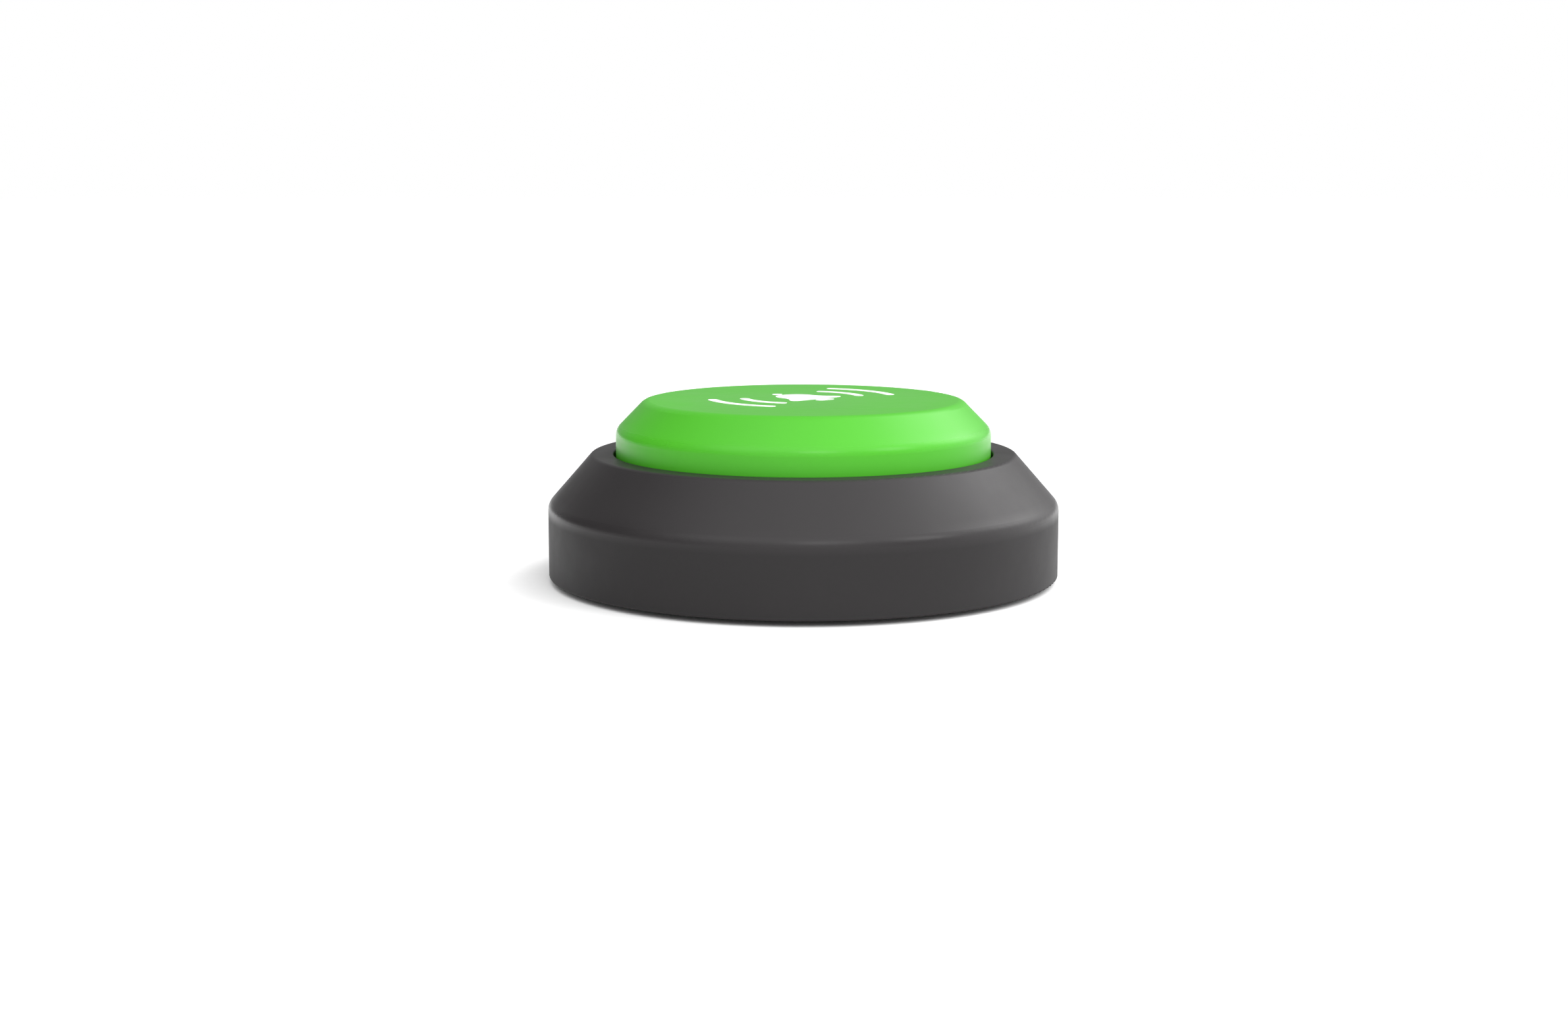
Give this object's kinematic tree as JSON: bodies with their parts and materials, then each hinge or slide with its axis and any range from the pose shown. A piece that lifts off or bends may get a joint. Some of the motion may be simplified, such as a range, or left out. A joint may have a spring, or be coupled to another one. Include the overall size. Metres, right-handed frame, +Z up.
{
  "type": "quiz buzzer",
  "caption": "Round tabletop quiz buzzer: a wide green push cap on springs in a dark chamfered base, with a sounder, cells and a power switch inside.",
  "frame": {"origin": "on the table, under the centre, at the rubber feet's undersides", "axes": "+Z up through the cap; -Y is the side that faces the player"},
  "size_m": [0.09, 0.09, 0.0317],
  "materials": {
    "housing_plastic": "satin moulded, dark grey",
    "cover_plastic": "fine spark-eroded texture, dark grey",
    "cap_plastic": "satin gloss, green",
    "inner_plastic": "moulded, black",
    "plunger_plastic": "ivory",
    "rubber": "soft, matt",
    "gasket_foam": "closed-cell foam",
    "screw_steel": "zinc plated",
    "spring_steel": "drawn wire",
    "contact_nickel": "nickel plated",
    "speaker_steel": "pressed, plated",
    "magnet": "nickel plated, dull",
    "diaphragm": "thin polyester film",
    "coil_copper": "varnished winding",
    "circuit_board": "solder resist, green",
    "chip_epoxy": "epoxy drop, black",
    "component_black": "moulded, black",
    "capacitor_can": "satin",
    "tinned_metal": "tinned",
    "terminal_board": "pressed phenolic paper",
    "cell_sleeve": "printed sleeve over the can",
    "wire_red": "pvc insulation",
    "wire_black": "pvc insulation",
    "wire_yellow": "pvc insulation",
    "wire_white": "pvc insulation"
  },
  "bodies": {
    "base": {"base_housing": "housing_plastic", "bottom_cover": "cover_plastic", "cover_screws": "screw_steel", "rubber_feet": "rubber", "inner_deck": "inner_plastic", "deck_screws": "screw_steel", "circuit_board": "circuit_board", "board_screws": "screw_steel", "sound_chip": "chip_epoxy", "board_capacitor": "capacitor_can", "board_transistor": "component_black", "board_resistors": "component_black", "press_switch_body": "component_black", "press_switch_lid": "tinned_metal", "press_switch_legs": "tinned_metal", "speaker_gasket": "gasket_foam", "speaker_diaphragm": "diaphragm", "speaker_basket": "speaker_steel", "speaker_voice_coil": "coil_copper", "speaker_magnet": "magnet", "speaker_yoke": "speaker_steel", "speaker_terminals": "terminal_board", "speaker_screws": "screw_steel", "power_switch_bracket": "tinned_metal", "power_switch_body": "component_black", "power_switch_terminals": "tinned_metal", "power_switch_screws": "screw_steel", "battery_cell_back": "cell_sleeve", "battery_cell_front": "cell_sleeve", "battery_button_contact": "contact_nickel", "battery_spring_contact": "contact_nickel", "battery_bridge_contact": "contact_nickel", "battery_wire_red": "wire_red", "battery_wire_black": "wire_black", "speaker_wires": "wire_yellow", "switch_wires": "wire_white", "return_springs": "spring_steel"},
    "button": {"button_cap": "cap_plastic"},
    "switch_plunger": {"press_switch_plunger": "plunger_plastic"},
    "power_knob": {"power_switch_knob": "plunger_plastic"},
    "door": {"battery_door": "cover_plastic", "door_screws": "screw_steel", "door_screw_washers": "plunger_plastic"}
  },
  "joints": [
    {"name": "press", "type": "slide", "parent": "base", "child": "button", "axis": [0, 0, -1], "range_m": [0, 0.0025], "stiffness_N_per_m": 1000, "springref_m": -0.0015, "deforming": ["return_springs"]},
    {"name": "switch_plunger_travel", "type": "slide", "parent": "base", "child": "switch_plunger", "axis": [0, 0, -1], "range_m": [0, 0.0025]},
    {"name": "power_switch_slide", "type": "slide", "parent": "base", "child": "power_knob", "axis": [1, 0, 0], "range_m": [0, 0.002]},
    {"name": "battery_door_release", "type": "slide", "parent": "base", "child": "door", "axis": [0, 0, -1], "range_m": [0, 0.025]}
  ],
  "couplings": [
    {"joint": "switch_plunger_travel", "follows": "press", "ratio": 1}
  ]
}
